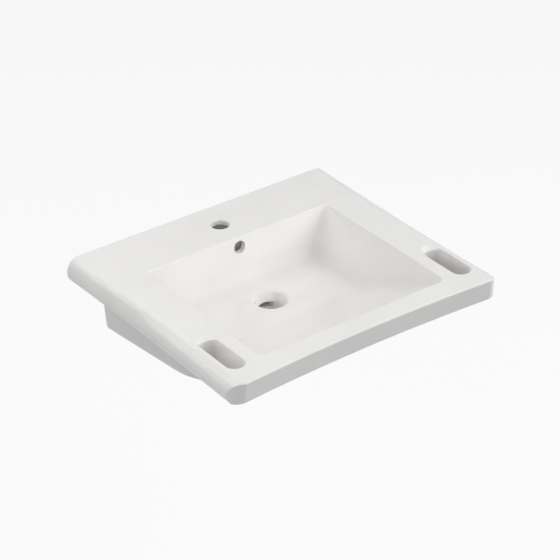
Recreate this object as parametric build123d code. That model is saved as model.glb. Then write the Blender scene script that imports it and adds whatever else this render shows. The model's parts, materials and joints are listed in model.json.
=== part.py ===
from build123d import *
import math
import os

# Wall hung wash basin with a hand grip slot at each side, and the set that fixes it to the wall.
# Millimetres. +Z is up, -Y is the front, +X is the right hand of a person who stands at the basin.
# The origin is on the wall's face, midway between the two hanger bolts.

# Outline of the rim, seen from above
overall_width = 600.0  # over the bulge of the sides, at the wall
overall_depth = 528.0  # wall to the two front edges of the corners
front_sag = 10.0  # the front edge is hollow, by this much at its middle
side_sag = 3.5  # the sides are a little hollow too
corner_radius_top = 43.0
corner_radius_low = 30.0
corner_width = 27.0  # side to the upright edge where corner and front face meet
corner_edge_radius = 7.0  # rounding of that upright edge
front_draft = 7.0  # the front face leans back by this much at its foot

# Section of the rim
rim_height = 44.0  # deck to the foot of the rim
shoulder_width = 24.0
shoulder_height = 29.0
shoulder_bend = 45.0  # degrees turned by the tighter, upper arc of the shoulder
side_tuck = 5.0  # the foot of each side lies this far in from the bulge
front_edge_radius = 3.0
deck_thickness = 11.0
wall_thickness = 12.0

# Bowl
bowl_side_ledge = 93.0  # bulge of the side to the bowl's edge
bowl_back_ledge = 125.0  # wall to the bowl's back edge
bowl_front_ledge = 53.0  # bowl's front edge to the front corners
bowl_depth = 87.0  # deck to the flat round the waste
bowl_front_depth = 20.0  # deck to the foot of the short front wall
bowl_side_draft = 27.0  # degrees from upright
bowl_back_draft = 8.0
bowl_front_draft = 20.0
bowl_corner_back = 7.0
bowl_corner_front = 18.0
bowl_floor_blend = 24.0
bowl_ramp_radius = 160.0
bowl_edge_radius = 2.5

# Waste outlet and overflow
waste_from_wall = 224.0
waste_throat_radius = 23.0
waste_lip_radius = 8.0
waste_cone_angle = 65.0
waste_cone_height = 20.0
waste_boss_wall = 13.0
waste_boss_height = 48.0  # flat round the waste to the foot of the boss
floor_flat_margin = 3.0  # flat left round the waste's lip
overflow_radius = 12.5
overflow_drop = 20.5  # deck to the middle of the overflow hole
overflow_duct_width = 36.0
overflow_duct_gap = 12.0
overflow_duct_skin = 8.0
overflow_duct_top = 7.0  # glazed clay left over the duct

# Tap hole
tap_from_wall = 65.0
tap_hole_radius = 17.5
hole_edge_chamfer = 1.5

# Hand grip slots
slot_side_ledge = 47.0  # bulge of the side to the slot's middle line
slot_width = 37.0
slot_length = 110.0
slot_front_ledge = 46.0  # slot's front end to the front corners
slot_edge_radius = 2.0
scoop_reach = 11.0  # the finger scoop passes the slot's back end by this much
scoop_rim_radius = 19.5
scoop_rim_angle = 42.0  # slope of the scoop at its rim

# Skirt under the bowl
body_height = 177.0  # deck to the foot of the skirt at the wall
skirt_side_overhang = 69.5  # bulge of the side to the skirt, at the foot of the rim
skirt_side_lean = 9.0  # each cheek leans in by this much down to the skirt's foot
skirt_front_overhang = 76.0  # front corners to the skirt's front, at the foot of the rim
skirt_front_low = 325.0  # wall to the front end of the skirt's foot
skirt_rise = 6.7  # degrees, the foot of the skirt climbs to the front
skirt_corner = 48.0
hollow_corner = 8.0  # inside corners where the cheeks meet the back plate
skirt_heel_radius = 8.0
bay_clearance_angle = 3.0  # draft of the hollows under the deck
bay_corner = 12.0
bay_slot_wall = 14.0

# Back plate and its pipe gap
plate_thickness = 14.0
pipe_gap_width = 200.0
pipe_gap_drop = 78.0  # deck to the top of the gap
pipe_gap_corner = 25.0

# Fixing set
bolt_spacing = 280.0
bolt_drop = 105.0  # deck to the hanger bolts
bolt_radius = 5.0
bolt_in_wall = 65.0
bolt_point_length = 9.0
bolt_point_radius = 0.5
bolt_waist_radius = 4.5  # plain part between the two threads
bolt_waist_behind = 1.0  # the waist starts this far inside the wall
bolt_waist_ahead = 11.0  # and ends this far in front of it
bolt_thread_reach = 46.0  # wall to the free end of the metric thread
bolt_end_chamfer = 1.0
bolt_socket_flats = 5.0
bolt_socket_depth = 5.0
fixing_hole_radius = 10.0
bush_wall_gap = 2.0  # the bush ends this far short of the wall
bush_hole_clearance = 0.3
bush_bolt_clearance = 0.3
bush_collar_radius = 17.0
bush_collar_thickness = 4.0
bush_collar_chamfer = 0.8
washer_radius = 15.0
washer_thickness = 2.5
washer_bolt_clearance = 0.5
nut_flats = 17.0
nut_height = 8.0
nut_chamfer_angle = 30.0
nut_thread_clearance = 0.02

# Sizes worked out from those above
half_width = overall_width / 2
bowl_half_width = half_width - bowl_side_ledge
slot_middle_x = half_width - slot_side_ledge
skirt_front_top = overall_depth - skirt_front_overhang  # from the wall, at the foot of the rim
corner_crease_x = half_width - corner_width
rim_spare = 1.0  # the uncut rim is wider than its bulge by this much
overrun = 5.0  # tools reach past what they cut by this much
margin = 1.0  # round a search for edges
touching = 0.01  # the closest that counts as apart
bowl_back_y = -bowl_back_ledge
bowl_front_y = -(overall_depth - bowl_front_ledge)
slot_front_y = -(overall_depth - slot_front_ledge)
slot_back_y = slot_front_y + slot_length
waste_y = -waste_from_wall
tap_y = -tap_from_wall
skirt_front_foot = -body_height + skirt_front_low * math.tan(math.radians(skirt_rise))
skirt_slope = (skirt_front_top - skirt_front_low) / (-rim_height - skirt_front_foot)
waste_flare_radius = (
    waste_throat_radius
    + waste_lip_radius * math.sin(math.radians(waste_cone_angle))
    + (waste_cone_height - waste_lip_radius * (1 - math.cos(math.radians(waste_cone_angle))))
    / math.tan(math.radians(waste_cone_angle))
)


def rim_outline(radius, crease_y, level):
    """Plan of the rim before its front and sides are cut: round corners pass through the creases."""
    side_x = half_width + rim_spare
    inward = corner_crease_x - (side_x - radius)
    front_y = crease_y + math.sqrt(radius**2 - inward**2) - radius
    outline = Pos(0, front_y / 2, level) * Rectangle(2 * side_x, -front_y)
    return fillet(outline.vertices().group_by(Axis.Y)[0], radius)


def front_cutter():
    """What lies ahead of the hollow, leaning front face, turned about a far upright axis."""
    hollow_radius = (corner_crease_x**2 + front_sag**2) / (2 * front_sag)
    axis_y = -(overall_depth - front_sag) - hollow_radius
    lean = front_draft / rim_height
    profile = Polyline(
        (hollow_radius - overrun * lean, overrun),
        (hollow_radius + (rim_height + overrun) * lean, -rim_height - overrun),
        (hollow_radius - 4 * front_sag, -rim_height - overrun),
        (hollow_radius - 4 * front_sag, overrun),
        close=True,
    )
    upright = Plane((0, axis_y, 0), x_dir=(0, 1, 0), z_dir=(1, 0, 0)) * make_face(profile)
    sweep_angle = 2 * math.degrees(math.asin(half_width / hollow_radius))
    axis = Axis((0, axis_y, 0), (0, 0, 1))
    return revolve(upright.rotate(axis, -sweep_angle / 2), axis, sweep_angle)


def side_cutter():
    """What lies outside the right side's shoulder and tuck, turned about a far upright axis."""
    reach = overall_depth / 2
    hollow_radius = (reach**2 + side_sag**2) / (2 * side_sag)
    bulge = half_width - side_sag
    top = bulge - shoulder_width
    bend = math.radians(shoulder_bend)
    growth = (shoulder_height - shoulder_width) / (math.sin(bend) + math.cos(bend) - 1)
    side_radius = shoulder_width + growth * math.sin(bend)
    top_radius = side_radius - growth
    upper = CenterArc((top, -top_radius), top_radius, 90, -shoulder_bend)
    side_centre = (top - growth * math.sin(bend), -top_radius - growth * math.cos(bend))
    lower = CenterArc(side_centre, side_radius, 90 - shoulder_bend, shoulder_bend - 90)
    tuck_end = (bulge - side_tuck, -rim_height)
    tuck = TangentArc((bulge, -shoulder_height), tuck_end, tangent=(0, -1))
    outside = half_width + 4 * overrun
    rest = Polyline(
        tuck_end,
        (bulge - side_tuck, -rim_height - overrun),
        (outside, -rim_height - overrun),
        (outside, overrun),
        (top, overrun),
        (top, 0),
    )
    profile = make_face(Curve() + [upper, lower, tuck, rest])
    upright = Plane((0, -reach, 0), x_dir=(1, 0, 0), z_dir=(0, -1, 0)) * profile
    sweep_angle = 2 * math.degrees(math.asin((reach + overrun) / hollow_radius))
    axis = Axis((bulge + hollow_radius, -reach, 0), (0, 0, 1))
    return revolve(upright.rotate(axis, -sweep_angle / 2), axis, sweep_angle)


def rim_block():
    """Solid rim: plan and section together, before it is hollowed from below."""
    block = loft(
        [
            rim_outline(corner_radius_low, -(overall_depth - front_draft), -rim_height),
            rim_outline(corner_radius_top, -overall_depth, 0),
        ],
        ruled=True,
    )
    block = block - front_cutter()
    uprights = [e for e in block.edges() if e.bounding_box().size.Z > rim_height / 2]
    creases = [e for e in uprights if abs(e.center().X) < corner_crease_x + corner_edge_radius]
    block = fillet(creases, corner_edge_radius)
    deck_edges = [e for e in block.edges() if abs(e.center().Z) < touching]
    front_edges = [e for e in deck_edges if e.center().Y < -margin]
    block = fillet(front_edges, front_edge_radius)
    cutter = side_cutter()
    return block - cutter - mirror(cutter, Plane.YZ)


def crossed(side_profile, front_profile):
    """What two outlines share: one seen from the side (Y, Z), one seen from the front (X, Z)."""
    long_way = extrude(Plane.YZ * side_profile, overall_width, both=True)
    return long_way & extrude(Plane.XZ * front_profile, 2 * overall_depth, both=True)


def corners_down(part, back, front):
    """Edges that run down from the part's highest face, with their middles between two depths."""
    highest = part.bounding_box().max.Z
    found = []
    for edge in part.edges():
        box = edge.bounding_box()
        starts_high = box.max.Z > highest - touching and box.size.Z > overrun
        if starts_high and front < edge.center().Y < back:
            found.append(edge)
    return found


def skirt():
    """Tapered skirt: two side cheeks and a sloped front cheek, its foot climbing from the heel."""
    top = -deck_thickness
    outline = make_face(
        Polyline(
            (0, top),
            (0, -body_height),
            (-skirt_front_low, skirt_front_foot),
            (skirt_front(top, 0), top),
            close=True,
        )
    )
    heel = outline.vertices().sort_by_distance((0, -body_height, 0))[0]
    outline = fillet(heel, skirt_heel_radius)
    solid = crossed(outline, taper(0, top, -body_height - overrun))
    return fillet(corners_down(solid, -skirt_front_low / 2, -overall_depth), skirt_corner)


def skirt_front(level, inset):
    """Depth of the sloped front cheek at a height: its outer face, or a face that far inside it."""
    return inset * math.hypot(1, skirt_slope) - skirt_front_top - (level + rim_height) * skirt_slope


def skirt_hollow():
    """Space inside the skirt, open to below, behind which the back plate stands."""
    top = -deck_thickness
    foot = -body_height - overrun
    outline = make_face(
        Polyline(
            (-plate_thickness, top),
            (-plate_thickness, foot),
            (skirt_front(foot, wall_thickness), foot),
            (skirt_front(top, wall_thickness), top),
            close=True,
        )
    )
    solid = crossed(outline, taper(wall_thickness, top, foot))
    ahead = corners_down(solid, -skirt_front_low / 2, -overall_depth)
    solid = fillet(ahead, skirt_corner - wall_thickness)
    solid = fillet(corners_down(solid, 0, -2 * plate_thickness), hollow_corner)
    behind_bay = Plane.XZ.offset(skirt_front_top - wall_thickness)
    return split(solid, bisect_by=behind_bay, keep=Keep.BOTTOM)


def taper(inset, top, foot):
    """Outline of the skirt's sides seen from the front."""
    high = skirt_width_at(top) - inset
    low = skirt_width_at(foot) - inset
    return make_face(Polyline((-high, top), (high, top), (low, foot), (-low, foot), close=True))


def skirt_width_at(level):
    """Half of the skirt's outside width at a height."""
    share = (-rim_height - level) / (body_height - rim_height)
    return half_width - skirt_side_overhang - share * skirt_side_lean


def bays():
    """Hollows under the deck: one each side of the skirt behind the slots, one along the front."""
    opening = -rim_height - overrun
    roof = -deck_thickness
    lean = (roof - opening) * math.tan(math.radians(bay_clearance_angle))
    inner = skirt_width_at(roof)
    outer = half_width - side_sag - side_tuck - wall_thickness
    back = -wall_thickness
    front = slot_back_y + scoop_reach + bay_slot_wall
    side_bay = loft(
        [
            bay_outline(inner, outer, back, front, 0, opening),
            bay_outline(inner + lean, outer - lean, back - lean, front + lean, lean, roof),
        ],
        ruled=True,
    )
    reach = slot_middle_x - slot_width / 2 - bay_slot_wall
    near = -(overall_depth - front_sag - front_draft - wall_thickness)
    far = -skirt_front_top
    front_bay = loft(
        [
            bay_outline(-reach, reach, far, near, 0, opening),
            bay_outline(-reach + lean, reach - lean, far, near + lean, lean, roof),
        ],
        ruled=True,
    )
    return [side_bay, mirror(side_bay, Plane.YZ), front_bay]


def bay_outline(x_low, x_high, y_back, y_front, shrink, level):
    """Rectangle with round corners in plan."""
    outline = Rectangle(x_high - x_low, y_back - y_front)
    rounded = fillet(outline.vertices(), bay_corner - shrink)
    return Pos((x_low + x_high) / 2, (y_back + y_front) / 2, level) * rounded


def bowl_form(grow, top):
    """The bowl's hollow, or with grow the outside of its shell, from a level down to the floor."""
    side = math.tan(math.radians(bowl_side_draft))
    back = math.tan(math.radians(bowl_back_draft))
    front = math.tan(math.radians(bowl_front_draft))
    half = bowl_half_width + grow
    back_y = bowl_back_y + grow
    front_y = bowl_front_y - grow
    floor = -bowl_depth - grow
    front_foot = -bowl_front_depth - grow
    flat_front = waste_y - waste_flare_radius - floor_flat_margin - bowl_floor_blend
    outline = make_face(
        Polyline(
            (back_y + top * back, top),
            (back_y + floor * back, floor),
            (flat_front, floor),
            (front_y - front_foot * front, front_foot),
            (front_y - top * front, top),
            close=True,
        )
    )
    bend = outline.vertices().sort_by_distance((flat_front, floor, 0))[0]
    outline = fillet(bend, bowl_ramp_radius)
    sides = Polyline(
        (-half - top * side, top),
        (half + top * side, top),
        (half + 2 * floor * side, 2 * floor),
        (-half - 2 * floor * side, 2 * floor),
        close=True,
    )
    form = crossed(outline, make_face(sides))
    form = fillet([e for e in form.edges() if on_bowl_floor(e, front_foot)], bowl_floor_blend)
    middle = (bowl_back_y + bowl_front_y) / 2
    form = fillet(corners_down(form, 0, middle), bowl_corner_back)
    return fillet(corners_down(form, middle, -overall_depth), bowl_corner_front)


def on_bowl_floor(edge, front_foot):
    """True for the floor's own outline, and not for the seams of the bend that cross the floor."""
    box = edge.bounding_box()
    ahead = bowl_front_y + bowl_floor_blend
    behind = bowl_back_y - bowl_floor_blend
    seam = box.size.X > bowl_half_width and ahead < edge.center().Y < behind
    return box.max.Z < front_foot + margin and not seam


def waste_boss():
    """Solid round boss that carries the outlet."""
    top = -bowl_depth - wall_thickness / 2
    foot = -bowl_depth - waste_boss_height
    return Pos(0, waste_y, foot) * Cylinder(
        waste_throat_radius + waste_boss_wall, top - foot, align=(Align.CENTER, Align.CENTER, Align.MIN)
    )


def waste_cut():
    """Outlet: rounded lip, cone and straight throat, turned about the outlet's axis."""
    slope = math.radians(waste_cone_angle)
    lip_end_r = waste_flare_radius - waste_lip_radius * math.sin(slope)
    lip_end_z = -waste_lip_radius * (1 - math.cos(slope))
    middle = slope / 2
    lip = ThreePointArc(
        (waste_flare_radius, 0),
        (
            waste_flare_radius - waste_lip_radius * math.sin(middle),
            -waste_lip_radius * (1 - math.cos(middle)),
        ),
        (lip_end_r, lip_end_z),
    )
    foot = -waste_boss_height - overrun
    rest = Polyline(
        (lip_end_r, lip_end_z),
        (waste_throat_radius, -waste_cone_height),
        (waste_throat_radius, foot),
        (0, foot),
        (0, overrun),
        (waste_flare_radius, overrun),
        (waste_flare_radius, 0),
    )
    section = Plane.XZ * make_face(Curve() + [lip, rest])
    return Pos(0, waste_y, -bowl_depth) * revolve(section, Axis.Z)


def duct_line(level, behind):
    """Point on the leaning line that lies behind the bowl's back wall."""
    lean = math.tan(math.radians(bowl_back_draft))
    return (bowl_back_y + wall_thickness + behind + level * lean, level)


def overflow_duct(skin):
    """Overflow duct down the back wall and forward to the outlet; skin makes its outside."""
    top = -overflow_duct_top if skin == 0 else -deck_thickness / 2
    roof = -bowl_depth - waste_cone_height
    foot = roof - overflow_duct_gap - skin
    ahead = -wall_thickness / 2 if skin else 0
    under = -bowl_depth - wall_thickness / 2 if skin else roof
    outline = Polyline(
        duct_line(top, ahead),
        duct_line(top, overflow_duct_gap + skin),
        duct_line(foot, overflow_duct_gap + skin),
        (waste_y, foot),
        (waste_y, under),
        duct_line(under, ahead),
        close=True,
    )
    return extrude(Plane.YZ * make_face(outline), overflow_duct_width / 2 + skin, both=True)


def slot(side):
    """Hand grip slot with a round mouth above, and the finger scoop at its back end."""
    middle = Pos(side * slot_middle_x, (slot_front_y + slot_back_y) / 2, -rim_height / 2)
    around = Box(slot_width + 4 * overrun, slot_length + 4 * overrun, rim_height)
    through = extrude(SlotOverall(slot_length, slot_width, rotation=90), rim_height, both=True)
    frame = around - through
    mouth = [e for e in frame.edges() if on_slot_mouth(e)]
    tool = around - fillet(mouth, slot_edge_radius)
    scoop_radius = scoop_rim_radius / math.sin(math.radians(scoop_rim_angle))
    height = scoop_radius * math.cos(math.radians(scoop_rim_angle))
    scoop_y = slot_back_y + scoop_reach - scoop_rim_radius
    return middle * tool + Pos(side * slot_middle_x, scoop_y, height) * Sphere(scoop_radius)


def on_slot_mouth(edge):
    """True for the edges where the slot's wall meets the face above."""
    box = edge.bounding_box()
    across = max(box.max.X, -box.min.X) < slot_width / 2 + margin
    along = box.max.Y < slot_length / 2 + margin
    return across and along and box.min.Z > rim_height / 2 - margin


def pipe_gap():
    """Gap in the back plate for the waste pipe and the supplies."""
    height = body_height - pipe_gap_drop + overrun
    outline = fillet(
        Rectangle(pipe_gap_width, 2 * height).vertices().group_by(Axis.Y)[-1], pipe_gap_corner
    )
    upright = Plane((0, 0, -pipe_gap_drop - height), x_dir=(1, 0, 0), z_dir=(0, -1, 0)) * outline
    return extrude(upright, plate_thickness + overrun)


def top_edges(part, low_x, high_x, back_y, front_y):
    """Edges in the deck's plane within a rectangle seen from above."""
    found = []
    for edge in part.edges():
        box = edge.bounding_box()
        flat = max(abs(box.min.Z), abs(box.max.Z)) < touching
        inside = box.min.X > low_x and box.max.X < high_x and box.min.Y > front_y and box.max.Y < back_y
        if flat and inside:
            found.append(edge)
    return found


def basin_body():
    """The whole glazed clay body, with the deck at zero height."""
    body = rim_block() + skirt()
    for bay in bays():
        body = body - bay
    body = body - skirt_hollow()
    body = body + bowl_form(wall_thickness, 0) + waste_boss() + overflow_duct(overflow_duct_skin)
    body = body - bowl_form(0, overrun) - waste_cut() - overflow_duct(0)
    for hole in holes():
        body = body - hole
    half_bowl = bowl_half_width + margin
    rim_of_bowl = top_edges(body, -half_bowl, half_bowl, bowl_back_y + margin, bowl_front_y - margin)
    body = fillet(rim_of_bowl, bowl_edge_radius)
    reach = tap_hole_radius + margin
    rim_of_tap = top_edges(body, -reach, reach, tap_y + reach, tap_y - reach)
    return chamfer(rim_of_tap, hole_edge_chamfer)


def holes():
    """Overflow hole, tap hole, grip slots, pipe gap and the two fixing holes."""
    ahead = bowl_back_y - wall_thickness
    behind = bowl_back_y + wall_thickness + overflow_duct_gap / 2
    facing = Plane((0, ahead, -overflow_drop), x_dir=(1, 0, 0), z_dir=(0, 1, 0))
    cuts = [extrude(facing * Circle(overflow_radius), behind - ahead)]
    cuts.append(Pos(0, tap_y, 0) * Cylinder(tap_hole_radius, 2 * (deck_thickness + overrun)))
    cuts.append(pipe_gap())
    for side in (-1, 1):
        cuts.append(slot(side))
        cuts.append(rod(side, fixing_hole_radius, overrun, plate_thickness + overrun))
    return cuts


def ahead_of_wall(side, ahead):
    """Upright plane across a hanger bolt's line that faces the front, so far ahead of the wall."""
    return Plane((side * bolt_spacing / 2, -ahead, -bolt_drop), x_dir=(1, 0, 0), z_dir=(0, -1, 0))


def rod(side, radius, behind, ahead):
    """Round bar on a hanger bolt's line, from behind the wall's face to ahead of it."""
    return extrude(ahead_of_wall(side, -behind) * Circle(radius), behind + ahead)


def hanger_bolt(side):
    """Double ended bolt turned in one piece: wood screw end and point, waist, metric end, socket."""
    step = bolt_radius - bolt_waist_radius
    profile = Polyline(
        (0, bolt_in_wall),
        (bolt_point_radius, bolt_in_wall),
        (bolt_radius, bolt_in_wall - bolt_point_length),
        (bolt_radius, bolt_waist_behind),
        (bolt_waist_radius, bolt_waist_behind - step),
        (bolt_waist_radius, step - bolt_waist_ahead),
        (bolt_radius, -bolt_waist_ahead),
        (bolt_radius, bolt_end_chamfer - bolt_thread_reach),
        (bolt_radius - bolt_end_chamfer, -bolt_thread_reach),
        (0, -bolt_thread_reach),
        close=True,
    )
    turned = Pos(side * bolt_spacing / 2, 0, -bolt_drop) * revolve(make_face(profile), Axis.Y)
    mouth = ahead_of_wall(side, bolt_thread_reach) * hexagon(bolt_socket_flats)
    return turned - extrude(mouth, -bolt_socket_depth)


def hexagon(flats):
    """Hexagon by its size over the flats."""
    return RegularPolygon(flats / 2, 6, major_radius=False)


def collar_bush(side):
    """Plastic sleeve with a collar, so that metal does not bear on the glazed clay."""
    sleeve = rod(side, fixing_hole_radius - bush_hole_clearance, -bush_wall_gap, plate_thickness)
    collar = rod(side, bush_collar_radius, -plate_thickness, plate_thickness + bush_collar_thickness)
    bore = rod(side, bolt_radius + bush_bolt_clearance, overrun, 2 * plate_thickness)
    rounded = chamfer(collar.edges().group_by(Axis.Y)[0], bush_collar_chamfer)
    return sleeve + rounded - bore


def washer(side):
    """Flat washer in front of the collar."""
    back = plate_thickness + bush_collar_thickness
    disc = rod(side, washer_radius, -back, back + washer_thickness)
    bore = rod(side, bolt_radius + washer_bolt_clearance, 0, back + washer_thickness + overrun)
    return disc - bore


def fixing_nut(side):
    """Hexagon nut, chamfered at both ends."""
    back = plate_thickness + bush_collar_thickness + washer_thickness
    start = ahead_of_wall(side, back)
    prism = extrude(start * hexagon(nut_flats), nut_height)
    corner = nut_flats / math.sqrt(3)
    rise = (corner - nut_flats / 2) * math.tan(math.radians(nut_chamfer_angle))
    straight = nut_height - 2 * rise
    align = (Align.CENTER, Align.CENTER, Align.MIN)
    spindle = Cylinder(corner, straight, align=align)
    spindle = Pos(0, 0, rise) * spindle + Cone(nut_flats / 2, corner, rise, align=align)
    spindle = spindle + Pos(0, 0, rise + straight) * Cone(corner, nut_flats / 2, rise, align=align)
    bore = rod(side, bolt_radius + nut_thread_clearance, 0, back + nut_height + overrun)
    return (prism & (start * spindle)) - bore


nodes = {"basin_body": basin_body()}
for name, side in (("left", -1), ("right", 1)):
    nodes["hanger_bolt_" + name] = hanger_bolt(side)
    nodes["collar_bush_" + name] = collar_bush(side)
    nodes["washer_" + name] = washer(side)
    nodes["fixing_nut_" + name] = fixing_nut(side)

os.makedirs("parts", exist_ok=True)
for name, piece in nodes.items():
    placed = Pos(0, 0, bolt_drop) * piece
    export_step(placed, "parts/" + name + ".step")
    print(name, round(placed.volume), placed.is_valid, len(placed.solids()))
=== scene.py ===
"""Wall hung wash basin with grip slots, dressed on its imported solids.

Sizes are millimetres in the classes and metres in Blender. +Z is up, -Y is the front, and the wall is the
plane y = 0. The origin is midway between the two hanger bolts.
"""

import json
import logging
import math
from dataclasses import dataclass, field
from enum import Enum

import bmesh
import bpy
from mathutils import Matrix, Vector

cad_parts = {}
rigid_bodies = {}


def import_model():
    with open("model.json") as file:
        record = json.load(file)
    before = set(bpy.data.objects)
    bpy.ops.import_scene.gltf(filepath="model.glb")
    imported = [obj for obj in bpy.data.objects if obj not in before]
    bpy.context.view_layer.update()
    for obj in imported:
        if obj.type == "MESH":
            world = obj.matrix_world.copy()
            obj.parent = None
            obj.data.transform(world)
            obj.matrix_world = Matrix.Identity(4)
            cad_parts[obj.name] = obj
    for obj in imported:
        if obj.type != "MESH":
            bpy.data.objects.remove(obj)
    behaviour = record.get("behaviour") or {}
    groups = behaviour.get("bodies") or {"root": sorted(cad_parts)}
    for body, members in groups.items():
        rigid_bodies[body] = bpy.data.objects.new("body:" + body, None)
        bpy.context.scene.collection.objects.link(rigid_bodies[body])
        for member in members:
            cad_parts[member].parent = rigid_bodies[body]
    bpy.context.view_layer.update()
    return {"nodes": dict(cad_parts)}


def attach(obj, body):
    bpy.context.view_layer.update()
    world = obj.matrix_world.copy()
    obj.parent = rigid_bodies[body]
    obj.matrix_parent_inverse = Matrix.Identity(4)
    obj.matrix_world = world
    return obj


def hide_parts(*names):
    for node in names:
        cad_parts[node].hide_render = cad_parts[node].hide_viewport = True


LOG = logging.getLogger("basin")
MM = 0.001
BODY = "root"
WHITE = "FFFFFF"
JOIN_MM = 0.002


class Side(Enum):
    """The two ends of the back plate, as a person at the basin sees them."""

    LEFT = -1
    RIGHT = 1


def linear(code: str) -> tuple[float, float, float, float]:
    """Turn an sRGB hex value to linear colour.

    Args:
        code: six hex digits, with or without the sign in front.

    Returns:
        Red, green, blue and an alpha of 1.
    """
    digits = code.lstrip("#")
    channels = [int(digits[i : i + 2], 16) / 255 for i in (0, 2, 4)]
    red, green, blue = (c / 12.92 if c <= 0.04045 else ((c + 0.055) / 1.055) ** 2.4 for c in channels)
    return (red, green, blue, 1.0)


def add_node(
    material: bpy.types.Material | bpy.types.World,
    kind: str,
    settings: dict[str, object] | None = None,
    inputs: dict[str | int, object] | None = None,
) -> bpy.types.Node:
    """Add one shader node with its settings and its links.

    Args:
        material: the material or world that the node goes into.
        kind: Blender's type name for the node.
        settings: attributes of the node.
        inputs: socket name or number to a value, or to the output socket that feeds it.

    Returns:
        The new node.
    """
    tree = material.node_tree
    node = tree.nodes.new(kind)
    for name, value in (settings or {}).items():
        setattr(node, name, value)
    for name, value in (inputs or {}).items():
        if isinstance(value, bpy.types.NodeSocket):
            tree.links.new(value, node.inputs[name])
        else:
            node.inputs[name].default_value = value
    return node


def blank_material(name: str) -> bpy.types.Material:
    """A material with an empty node tree."""
    material = bpy.data.materials.new(name)
    material.use_nodes = True
    material.node_tree.nodes.clear()
    return material


def noise(
    material: bpy.types.Material, place: bpy.types.NodeSocket, size_mm: float, detail: float
) -> bpy.types.NodeSocket:
    """Noise whose blobs are about a real size across.

    Args:
        material: the material it goes into.
        place: where on the piece, in metres.
        size_mm: size of one blob.
        detail: octaves of finer noise on top.

    Returns:
        The noise, from 0 to 1.
    """
    inputs = {"Vector": place, "Scale": 1 / (size_mm * MM), "Detail": detail}
    return add_node(material, "ShaderNodeTexNoise", inputs=inputs).outputs["Fac"]


def tinted(
    material: bpy.types.Material,
    amount: bpy.types.NodeSocket,
    span: tuple[float, float],
    codes: tuple[str, str],
) -> bpy.types.NodeSocket:
    """Colour that runs from one tint to another.

    Args:
        material: the material it goes into.
        amount: what the colour follows, from 0 to 1.
        span: the amounts at which the first tint ends and the second begins.
        codes: the two tints as sRGB hex values.

    Returns:
        The colour.
    """
    ramp = add_node(material, "ShaderNodeValToRGB", inputs={"Fac": amount})
    for element, place, code in zip(ramp.color_ramp.elements, span, codes):
        element.position, element.color = place, linear(code)
    return ramp.outputs["Color"]


def relief(
    material: bpy.types.Material,
    height: bpy.types.NodeSocket,
    height_mm: float,
    strength: float = 1.0,
    under: bpy.types.NodeSocket | None = None,
) -> bpy.types.NodeSocket:
    """Fine relief, as a change of the surface's direction.

    Args:
        material: the material it goes into.
        height: the relief, from 0 to 1.
        height_mm: what 1 stands for.
        strength: how much of it shows.
        under: the direction that it is laid over, or none for the mesh's own.

    Returns:
        The new direction.
    """
    inputs = {"Strength": strength, "Distance": height_mm * MM, "Height": height}
    if under is not None:
        inputs["Normal"] = under
    return add_node(material, "ShaderNodeBump", inputs=inputs).outputs["Normal"]


def surfaced(material: bpy.types.Material, shader: bpy.types.Node) -> bpy.types.Material:
    """Put a shader on a material's surface, and give the material back."""
    add_node(material, "ShaderNodeOutputMaterial", inputs={"Surface": shader.outputs[0]})
    return material


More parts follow.
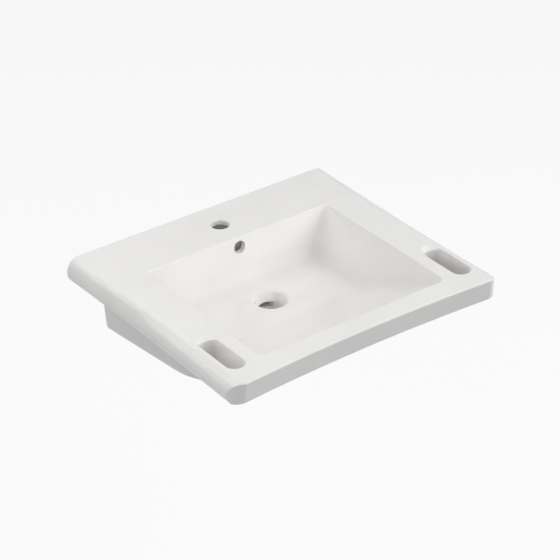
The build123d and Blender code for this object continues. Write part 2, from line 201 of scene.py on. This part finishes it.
@dataclass(frozen=True)
class GlazedVitreousChina:
    """White zirconium glaze, sprayed and fired on a cast clay body.

    To the eye it is a barely warm white, wet and even, with the faintest waviness where the glaze flowed and
    with every edge rounded by it. The faces that meet the wall stay bare, so they are duller and warmer.
    """

    name: str = "glazed_vitreous_china"
    glaze: str = "F2F1F0"
    glaze_deep: str = "EFEEED"
    tint_mm: float = 90.0
    tint_detail: float = 2.0
    tint_span: tuple[float, float] = (0.35, 0.65)
    glaze_index: float = 1.52
    glaze_roughness: float = 0.07
    body_roughness: float = 0.42
    under_gloss: float = 0.1
    edge_flow_mm: float = 1.2
    edge_samples: int = 6
    flow_mm: float = 38.0
    flow_detail: float = 1.0
    flow_height_mm: float = 0.012
    peel_mm: float = 2.6
    peel_detail: float = 0.0
    peel_height_mm: float = 0.0016
    biscuit: str = "EEE9E0"
    biscuit_dark: str = "E3DCD0"
    biscuit_roughness: float = 0.85
    grit_mm: float = 0.7
    grit_detail: float = 3.0
    grit_span: tuple[float, float] = (0.3, 0.7)
    grit_height_mm: float = 0.05
    grit_strength: float = 0.6
    bare_skin_mm: float = 0.35

    def build(self) -> bpy.types.Material:
        """Make the material.

        Returns:
            Glaze over the whole piece, and bare clay in the wall's plane.
        """
        material = blank_material(self.name)
        place = add_node(material, "ShaderNodeTexCoord").outputs["Object"]
        tint = noise(material, place, self.tint_mm, self.tint_detail)
        edges = add_node(
            material,
            "ShaderNodeBevel",
            {"samples": self.edge_samples},
            {"Radius": self.edge_flow_mm * MM},
        )
        waves = noise(material, place, self.flow_mm, self.flow_detail)
        flow = relief(material, waves, self.flow_height_mm, under=edges.outputs["Normal"])
        pores = noise(material, place, self.peel_mm, self.peel_detail)
        glazed = add_node(
            material,
            "ShaderNodeBsdfPrincipled",
            inputs={
                "Base Color": tinted(material, tint, self.tint_span, (self.glaze_deep, self.glaze)),
                "Roughness": self.body_roughness,
                "IOR": self.glaze_index,
                "Specular IOR Level": self.under_gloss,
                "Coat Weight": 1.0,
                "Coat Roughness": self.glaze_roughness,
                "Coat IOR": self.glaze_index,
                "Normal": flow,
                "Coat Normal": relief(material, pores, self.peel_height_mm, under=flow),
            },
        )
        bare = self._bare_clay(material, place)
        both = add_node(
            material,
            "ShaderNodeMixShader",
            inputs={"Fac": self._at_wall(material, place), 1: glazed.outputs[0], 2: bare.outputs[0]},
        )
        return surfaced(material, both)

    def _bare_clay(self, material: bpy.types.Material, place: bpy.types.NodeSocket) -> bpy.types.Node:
        """Fired clay with no glaze: dry, warm and finely gritty.

        Args:
            material: the material it goes into.
            place: where on the piece, in metres.

        Returns:
            The shader.
        """
        grit = noise(material, place, self.grit_mm, self.grit_detail)
        return add_node(
            material,
            "ShaderNodeBsdfPrincipled",
            inputs={
                "Base Color": tinted(material, grit, self.grit_span, (self.biscuit_dark, self.biscuit)),
                "Roughness": self.biscuit_roughness,
                "Normal": relief(material, grit, self.grit_height_mm, self.grit_strength),
            },
        )

    def _at_wall(self, material: bpy.types.Material, place: bpy.types.NodeSocket) -> bpy.types.NodeSocket:
        """1 on the faces in the wall's plane and 0 elsewhere.

        Args:
            material: the material it goes into.
            place: where on the piece, in metres.

        Returns:
            The mask.
        """
        parts = add_node(material, "ShaderNodeSeparateXYZ", inputs={"Vector": place})
        near = add_node(
            material,
            "ShaderNodeMath",
            {"operation": "GREATER_THAN"},
            {0: parts.outputs["Y"], 1: -self.bare_skin_mm * MM},
        )
        return near.outputs[0]


@dataclass(frozen=True)
class ZincPlatedSteel:
    """Turned and rolled steel with bright zinc plate: grey metal, slightly blue, with a fine clouding."""

    name: str = "zinc_plated_steel"
    slot: str = "zinc_plated_steel"
    bright: str = "C3C8CD"
    cloud: str = "A9AEB4"
    cloud_mm: float = 3.5
    cloud_detail: float = 3.0
    cloud_span: tuple[float, float] = (0.35, 0.65)
    dull_span: tuple[float, float] = (0.3, 0.7)
    dull_roughness: float = 0.4
    bright_roughness: float = 0.26
    scratch_mm: float = 0.5
    scratch_detail: float = 1.0
    scratch_height_mm: float = 0.02
    scratch_strength: float = 0.3

    def build(self) -> bpy.types.Material:
        """Make the material.

        Returns:
            Plated metal with clouding and fine scratches.
        """
        material = blank_material(self.name)
        place = add_node(material, "ShaderNodeTexCoord").outputs["Object"]
        clouds = noise(material, place, self.cloud_mm, self.cloud_detail)
        dull = add_node(
            material,
            "ShaderNodeMapRange",
            inputs={
                "Value": clouds,
                "From Min": self.dull_span[0],
                "From Max": self.dull_span[1],
                "To Min": self.dull_roughness,
                "To Max": self.bright_roughness,
            },
        )
        scratches = noise(material, place, self.scratch_mm, self.scratch_detail)
        metal = add_node(
            material,
            "ShaderNodeBsdfPrincipled",
            inputs={
                "Base Color": tinted(material, clouds, self.cloud_span, (self.cloud, self.bright)),
                "Metallic": 1.0,
                "Roughness": dull.outputs["Result"],
                "Normal": relief(material, scratches, self.scratch_height_mm, self.scratch_strength),
            },
        )
        return surfaced(material, metal)


@dataclass(frozen=True)
class MouldedNylon:
    """Natural nylon 6 from a spark eroded mould: milky, half matt, faintly grained."""

    name: str = "moulded_nylon"
    pale: str = "E4E1D6"
    milky: str = "D8D4C6"
    roughness: float = 0.48
    index: float = 1.53
    grain_mm: float = 0.6
    grain_detail: float = 2.0
    grain_span: tuple[float, float] = (0.3, 0.7)
    grain_height_mm: float = 0.02
    grain_strength: float = 0.35
    milkiness: float = 0.15
    light_reach_mm: tuple[float, float, float] = (1.2, 1.1, 0.9)

    def build(self) -> bpy.types.Material:
        """Make the material.

        Returns:
            Milky plastic with a fine moulded grain.
        """
        material = blank_material(self.name)
        place = add_node(material, "ShaderNodeTexCoord").outputs["Object"]
        grain = noise(material, place, self.grain_mm, self.grain_detail)
        plastic = add_node(
            material,
            "ShaderNodeBsdfPrincipled",
            inputs={
                "Base Color": tinted(material, grain, self.grain_span, (self.milky, self.pale)),
                "Roughness": self.roughness,
                "IOR": self.index,
                "Subsurface Weight": self.milkiness,
                "Subsurface Radius": tuple(reach * MM for reach in self.light_reach_mm),
                "Subsurface Scale": 1.0,
                "Normal": relief(material, grain, self.grain_height_mm, self.grain_strength),
            },
        )
        return surfaced(material, plastic)


def evenly_shaded(obj: bpy.types.Object, sharp_deg: float) -> None:
    """Shade an object smoothly between its sharp edges, with its shape left as it is.

    Args:
        obj: the object.
        sharp_deg: edges that turn by more than this stay sharp.
    """
    split = obj.modifiers.new("keep_edges", "EDGE_SPLIT")
    split.use_edge_sharp = False
    split.split_angle = math.radians(sharp_deg)
    obj.modifiers.new("even_shading", "WEIGHTED_NORMAL")
    for face in obj.data.polygons:
        face.use_smooth = True


def joined_faces(obj: bpy.types.Object) -> None:
    """Join a CAD node's faces along their shared edges, as a modifier."""
    weld = obj.modifiers.new("join_faces", "WELD")
    weld.merge_threshold = JOIN_MM * MM


def bevelled(obj: bpy.types.Object, width_mm: float, segments: int, angle_deg: float) -> None:
    """Round an object's hard edges, as a modifier.

    Args:
        obj: the object.
        width_mm: width of the rounding.
        segments: facets across the rounding.
        angle_deg: edges that turn by less than this stay as they are.
    """
    bevel = obj.modifiers.new("round_edges", "BEVEL")
    bevel.width = width_mm * MM
    bevel.segments = segments
    bevel.limit_method = "ANGLE"
    bevel.angle_limit = math.radians(angle_deg)
    bevel.profile = 0.5


def dressed(obj: bpy.types.Object, material: bpy.types.Material) -> None:
    """Give an object one material over all its faces."""
    obj.data.materials.clear()
    obj.data.materials.append(material)


@dataclass
class BasinBody:
    """The glazed clay body, carried over from the solids and shaded evenly over its curves."""

    china: GlazedVitreousChina = field(default_factory=GlazedVitreousChina)
    sharp_deg: float = 32.0

    def build(self, nodes: dict[str, bpy.types.Object]) -> None:
        """Dress the body.

        Args:
            nodes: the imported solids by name.
        """
        body = nodes["basin_body"]
        dressed(body, self.china.build())
        joined_faces(body)
        evenly_shaded(body, self.sharp_deg)
        LOG.info("basin_body: %d faces, glazed", len(body.data.polygons))


def lies_along_y(centre_y: float) -> Matrix:
    """Turns what is made along Z to lie along Y, with its middle at a place on that line."""
    return Matrix.Translation((0, centre_y, 0)) @ Matrix.Rotation(math.radians(-90), 4, "X")


def add_part(shape: bmesh.types.BMesh, part: bmesh.types.BMesh) -> None:
    """Put a finished closed part into a shape, and free it.

    Args:
        shape: what the part goes into.
        part: the part.
    """
    bmesh.ops.recalc_face_normals(part, faces=part.faces)
    mesh = bpy.data.meshes.new("part")
    part.to_mesh(mesh)
    part.free()
    shape.from_mesh(mesh)
    bpy.data.meshes.remove(mesh)


@dataclass(frozen=True)
class ThreadRun:
    """One stretch of thread, measured along the bolt from the wall's face, into the wall."""

    start_mm: float
    end_mm: float
    pitch_mm: float
    depth_mm: float
    crest_flat_mm: float
    root_flat_mm: float
    steps_per_turn: int = 24
    lead_in: float = 1.4
    join_mm: float = 0.01

    def build(self, radius_mm: float) -> tuple[bmesh.types.BMesh, list[bmesh.types.BMFace]]:
        """Make the thread as a closed bar: one pitch of its outline, wound and cut off square.

        Args:
            radius_mm: radius over the crest.

        Returns:
            The bar, and its end faces with the lower one first.
        """
        root = radius_mm - self.depth_mm
        flank = (self.pitch_mm - self.crest_flat_mm - self.root_flat_mm) / 2
        crest = self.root_flat_mm + flank
        outline = (
            (root, 0.0),
            (root, self.root_flat_mm),
            (radius_mm, crest),
            (radius_mm, crest + self.crest_flat_mm),
            (root, self.pitch_mm),
        )
        bar = bmesh.new()
        first = self.start_mm - self.lead_in * self.pitch_mm
        points = [bar.verts.new((r, first + along, 0)) for r, along in outline]
        lines = [bar.edges.new(pair) for pair in zip(points, points[1:])]
        turns = math.ceil((self.end_mm - self.start_mm) / self.pitch_mm + 2 * self.lead_in)
        bmesh.ops.spin(
            bar,
            geom=points + lines,
            cent=(0, 0, 0),
            axis=(0, 1, 0),
            dvec=(0, self.pitch_mm / self.steps_per_turn, 0),
            angle=2 * math.pi * turns,
            steps=self.steps_per_turn * turns,
        )
        bmesh.ops.remove_doubles(bar, verts=bar.verts, dist=self.join_mm)
        ends = [self._cut(bar, self.start_mm, -1), self._cut(bar, self.end_mm, 1)]
        return bar, ends

    def _cut(self, bar: bmesh.types.BMesh, place_mm: float, beyond: int) -> bmesh.types.BMFace:
        """Cut the bar off square and close it.

        Args:
            bar: the thread.
            place_mm: where along it.
            beyond: 1 to drop what lies further in, -1 to drop what lies before.

        Returns:
            The new end face.
        """
        cut = bmesh.ops.bisect_plane(
            bar,
            geom=bar.verts[:] + bar.edges[:] + bar.faces[:],
            plane_co=(0, place_mm, 0),
            plane_no=(0, beyond, 0),
            clear_outer=True,
        )
        rim = [e for e in cut["geom_cut"] if isinstance(e, bmesh.types.BMEdge) and e.is_boundary]
        return bmesh.ops.edgeloop_fill(bar, edges=rim)["faces"][0]


@dataclass
class HangerBolt:
    """Double ended bolt: coarse wood thread with a point, plain waist, metric thread with a socket."""

    side: Side
    steel: bpy.types.Material
    radius_mm: float = 5.0
    metric: ThreadRun = ThreadRun(-46.0, -11.0, 1.5, 0.92, 0.19, 0.375)
    wood: ThreadRun = ThreadRun(1.0, 65.0, 4.2, 1.35, 0.3, 2.4)
    waist_radius_mm: float = 4.5
    waist_facets: int = 40
    waist_sink_mm: float = 0.5
    point_mm: float = 9.0
    point_radius_mm: float = 0.5
    end_chamfer_mm: float = 1.0
    socket_flats_mm: float = 5.0
    socket_depth_mm: float = 5.0
    axis_x_mm: float = 140.0
    sharp_deg: float = 35.0

    def build(self) -> None:
        """Make the bolt, which stands for its CAD node and rides on the body."""
        name = f"hanger_bolt_{self.side.name.lower()}"
        shape = bmesh.new()
        for part in (self._metric_end(), self._waist(), self._wood_end()):
            add_part(shape, part)
        bmesh.ops.translate(shape, verts=shape.verts, vec=(self.side.value * self.axis_x_mm, 0, 0))
        bmesh.ops.scale(shape, verts=shape.verts, vec=(MM, MM, MM))
        mesh = bpy.data.meshes.new(f"{name}_threaded")
        shape.to_mesh(mesh)
        shape.free()
        bolt = bpy.data.objects.new(f"{name}_threaded", mesh)
        bpy.context.scene.collection.objects.link(bolt)
        dressed(bolt, self.steel)
        evenly_shaded(bolt, self.sharp_deg)
        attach(bolt, BODY)
        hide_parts(name)
        LOG.info("%s: %d faces, threaded", name, len(mesh.polygons))

    def _metric_end(self) -> bmesh.types.BMesh:
        """Metric thread with a chamfered end, and a hexagon socket sunk in that end.

        Returns:
            The closed part.
        """
        bar, (end, _) = self.metric.build(self.radius_mm)
        for vert in bar.verts:
            reach = math.hypot(vert.co.x, vert.co.z)
            allowed = self.radius_mm - self.end_chamfer_mm + vert.co.y - self.metric.start_mm
            if reach > allowed:
                vert.co.x *= allowed / reach
                vert.co.z *= allowed / reach
        rim = list(end.edges)
        bmesh.ops.delete(bar, geom=[end], context="FACES_ONLY")
        mouth = bmesh.ops.create_circle(
            bar,
            segments=6,
            radius=self.socket_flats_mm / math.sqrt(3),
            matrix=lies_along_y(self.metric.start_mm),
        )["verts"]
        hexagon = list({edge for vert in mouth for edge in vert.link_edges})
        bmesh.ops.bridge_loops(bar, edges=rim + hexagon)
        walls = bmesh.ops.extrude_edge_only(bar, edges=hexagon)["geom"]
        sunk = [g for g in walls if isinstance(g, bmesh.types.BMVert)]
        bmesh.ops.translate(bar, verts=sunk, vec=(0, self.socket_depth_mm, 0))
        edges = [g for g in walls if isinstance(g, bmesh.types.BMEdge)]
        floor = [edge for edge in edges if all(vert in sunk for vert in edge.verts)]
        bmesh.ops.edgeloop_fill(bar, edges=floor)
        return bar

    def _wood_end(self) -> bmesh.types.BMesh:
        """Coarse thread that runs out to a point.

        Returns:
            The closed part.
        """
        bar, _ = self.wood.build(self.radius_mm)
        shoulder = self.wood.end_mm - self.point_mm
        for vert in bar.verts:
            share = max(0.0, (vert.co.y - shoulder) / self.point_mm)
            narrow = 1 - share * (1 - self.point_radius_mm / self.radius_mm)
            vert.co.x *= narrow
            vert.co.z *= narrow
        return bar

    def _waist(self) -> bmesh.types.BMesh:
        """Plain bar between the threads, sunk a little into both."""
        waist = bmesh.new()
        start = self.metric.end_mm - self.waist_sink_mm
        end = self.wood.start_mm + self.waist_sink_mm
        bmesh.ops.create_cone(
            waist,
            cap_ends=True,
            segments=self.waist_facets,
            radius1=self.waist_radius_mm,
            radius2=self.waist_radius_mm,
            depth=end - start,
            matrix=lies_along_y((start + end) / 2),
        )
        return waist


@dataclass
class WallFixing:
    """What holds the body to the wall on one side: hanger bolt, collar bush, washer and nut."""

    side: Side
    steel: bpy.types.Material
    nylon: bpy.types.Material
    edge_mm: float = 0.25
    edge_segments: int = 2
    sharp_deg: float = 25.0

    def build(self, nodes: dict[str, bpy.types.Object]) -> None:
        """Dress the small parts.

        Args:
            nodes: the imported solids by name.
        """
        end = self.side.name.lower()
        for part, material in (
            (f"washer_{end}", self.steel),
            (f"fixing_nut_{end}", self.steel),
            (f"collar_bush_{end}", self.nylon),
        ):
            dressed(nodes[part], material)
            joined_faces(nodes[part])
            bevelled(nodes[part], self.edge_mm, self.edge_segments, self.sharp_deg)
            evenly_shaded(nodes[part], self.sharp_deg)
            LOG.info("%s: dressed", part)
        HangerBolt(self.side, self.steel).build()


def towards(azimuth_deg: float, elevation_deg: float) -> Vector:
    """Direction from the basin to a viewer: azimuth 0 is the front, and it grows to the right."""
    azimuth, elevation = math.radians(azimuth_deg), math.radians(elevation_deg)
    level = Vector((math.sin(azimuth), -math.cos(azimuth), 0)) * math.cos(elevation)
    return level + Vector((0, 0, math.sin(elevation)))


@dataclass(frozen=True)
class Lamp:
    """A soft square lamp that looks at the basin's middle, and that the glaze mirrors or not."""

    name: str
    azimuth_deg: float
    elevation_deg: float
    distance_m: float
    size_m: float
    power_w: float
    in_gloss: bool

    def build(self, middle: Vector) -> None:
        """Make the lamp.

        Args:
            middle: what it looks at.
        """
        data = bpy.data.lights.new(self.name, "AREA")
        data.size = self.size_m
        data.energy = self.power_w
        lamp = bpy.data.objects.new(self.name, data)
        away = towards(self.azimuth_deg, self.elevation_deg)
        lamp.location = middle + self.distance_m * away
        lamp.rotation_mode = "QUATERNION"
        lamp.rotation_quaternion = (-away).to_track_quat("-Z", "Y")
        lamp.visible_camera = False
        lamp.visible_glossy = self.in_gloss
        bpy.context.scene.collection.objects.link(lamp)


@dataclass
class Studio:
    """Pale floor, plain soft light, and the camera at the photograph's viewing angle."""

    azimuth_deg: float = -36.46
    elevation_deg: float = 31.44
    roll_deg: float = -0.53
    camera_m: tuple[float, float, float] = (-2.0392, -3.0135, 2.1714)
    sensor_mm: float = 36.0
    lens_mm: float = 140.98
    sees_as_far_as_m: float = 60.0
    floor_below_deck_m: float = 0.85
    deck_m: float = 0.105
    floor_radius_m: float = 14.0
    floor_facets: int = 96
    floor_seen: str = "F2F2F2"
    floor_bounce: str = "4C4C4C"
    floor_glow: float = 0.86
    room_light: float = 0.02
    room_in_gloss: float = 0.45
    middle_m: tuple[float, float, float] = (0.0, -0.26, 0.05)
    lamps: tuple[Lamp, ...] = (
        Lamp("right_far", 50, 40, 4.0, 4.0, 150.0, in_gloss=False),
        Lamp("back_far", 180, 40, 4.0, 3.0, 50.0, in_gloss=False),
        Lamp("left_side", -100, 35, 1.8, 2.2, 20.5, in_gloss=True),
        Lamp("front_low", 0, 30, 4.0, 3.0, 13.5, in_gloss=True),
        Lamp("front_left_level", -30, 0, 4.0, 3.0, 44.0, in_gloss=True),
    )

    def build(self) -> None:
        """Make the floor, the world, the lamps and the camera."""
        self._floor()
        self._world()
        for lamp in self.lamps:
            lamp.build(Vector(self.middle_m))
        self._camera()
        bpy.context.scene.view_settings.view_transform = "Standard"

    def _floor(self) -> None:
        """Round floor at the height a floor has under a basin."""
        shape = bmesh.new()
        bmesh.ops.create_circle(
            shape, cap_ends=True, segments=self.floor_facets, radius=self.floor_radius_m
        )
        bmesh.ops.translate(shape, verts=shape.verts, vec=(0, 0, self.deck_m - self.floor_below_deck_m))
        mesh = bpy.data.meshes.new("studio_floor")
        shape.to_mesh(mesh)
        shape.free()
        floor = bpy.data.objects.new("studio_floor", mesh)
        bpy.context.scene.collection.objects.link(floor)
        floor.data.materials.append(self._floor_paint())

    def _floor_paint(self) -> bpy.types.Material:
        """Matt white to the eye and in reflections, dimmer as light, and clear from underneath.

        Returns:
            The floor's material.
        """
        material = blank_material("matt_white_floor")
        seen = self._seen(material, "Is Camera Ray", "Is Transmission Ray", "Is Glossy Ray")
        colour = add_node(
            material,
            "ShaderNodeMixRGB",
            inputs={"Fac": seen, "Color1": linear(self.floor_bounce), "Color2": linear(self.floor_seen)},
        )
        paint = add_node(material, "ShaderNodeBsdfDiffuse", inputs={"Color": colour.outputs["Color"]})
        glow = add_node(material, "ShaderNodeEmission", inputs={"Color": linear(WHITE), "Strength": 1.0})
        share = add_node(material, "ShaderNodeMath", {"operation": "MULTIPLY"}, {0: seen, 1: self.floor_glow})
        top = add_node(
            material,
            "ShaderNodeMixShader",
            inputs={"Fac": share.outputs[0], 1: paint.outputs[0], 2: glow.outputs[0]},
        )
        clear = add_node(material, "ShaderNodeBsdfTransparent")
        from_below = add_node(material, "ShaderNodeNewGeometry").outputs["Backfacing"]
        both = add_node(
            material,
            "ShaderNodeMixShader",
            inputs={"Fac": from_below, 1: top.outputs[0], 2: clear.outputs[0]},
        )
        return surfaced(material, both)

    def _seen(self, owner: bpy.types.Material | bpy.types.World, *kinds: str) -> bpy.types.NodeSocket:
        """1 for the kinds of ray that see a surface, and 0 for those that only carry light.

        Args:
            owner: the material or world that asks.
            kinds: the light path's outputs that count as seeing.

        Returns:
            The mask.
        """
        rays = add_node(owner, "ShaderNodeLightPath").outputs
        mask = rays[kinds[0]]
        for kind in kinds[1:]:
            larger = add_node(
                owner, "ShaderNodeMath", {"operation": "MAXIMUM"}, {0: mask, 1: rays[kind]}
            )
            mask = larger.outputs[0]
        return mask

    def _world(self) -> None:
        """Even white surroundings, white to the camera and dimmer as light and in reflections."""
        world = bpy.data.worlds.new("soft_white_room")
        world.use_nodes = True
        world.node_tree.nodes.clear()
        rays = add_node(world, "ShaderNodeLightPath")
        strength = add_node(
            world,
            "ShaderNodeMath",
            {"operation": "MULTIPLY_ADD"},
            {0: rays.outputs["Is Glossy Ray"], 1: self.room_in_gloss, 2: self.room_light},
        )
        light = add_node(
            world,
            "ShaderNodeBackground",
            inputs={"Color": linear(WHITE), "Strength": strength.outputs[0]},
        )
        white = add_node(world, "ShaderNodeBackground", inputs={"Color": linear(WHITE), "Strength": 1.0})
        seen = self._seen(world, "Is Camera Ray", "Is Transmission Ray")
        mix = add_node(
            world,
            "ShaderNodeMixShader",
            inputs={"Fac": seen, 1: light.outputs[0], 2: white.outputs[0]},
        )
        add_node(world, "ShaderNodeOutputWorld", inputs={"Surface": mix.outputs[0]})
        bpy.context.scene.world = world

    def _camera(self) -> None:
        """Camera where the photograph's perspective puts it."""
        roll = math.radians(self.roll_deg)
        back = towards(self.azimuth_deg, self.elevation_deg)
        level = Vector((0, 0, 1)).cross(back).normalized()
        up = back.cross(level)
        right = math.cos(roll) * level + math.sin(roll) * up
        top = math.cos(roll) * up - math.sin(roll) * level
        data = bpy.data.cameras.new("photo_camera")
        data.sensor_width = self.sensor_mm
        data.lens = self.lens_mm
        data.clip_end = self.sees_as_far_as_m
        camera = bpy.data.objects.new("photo_camera", data)
        turn = Matrix((right, top, back)).transposed().to_4x4()
        camera.matrix_world = Matrix.Translation(self.camera_m) @ turn
        bpy.context.scene.collection.objects.link(camera)
        bpy.context.scene.camera = camera


def main() -> None:
    """Load the frame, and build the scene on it."""
    logging.basicConfig(level=logging.INFO, format="%(message)s")
    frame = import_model()
    nodes = frame["nodes"]
    BasinBody().build(nodes)
    steel = ZincPlatedSteel().build()
    nylon = MouldedNylon().build()
    for side in Side:
        WallFixing(side, steel, nylon).build(nodes)
    Studio().build()


if __name__ == "__main__":
    main()
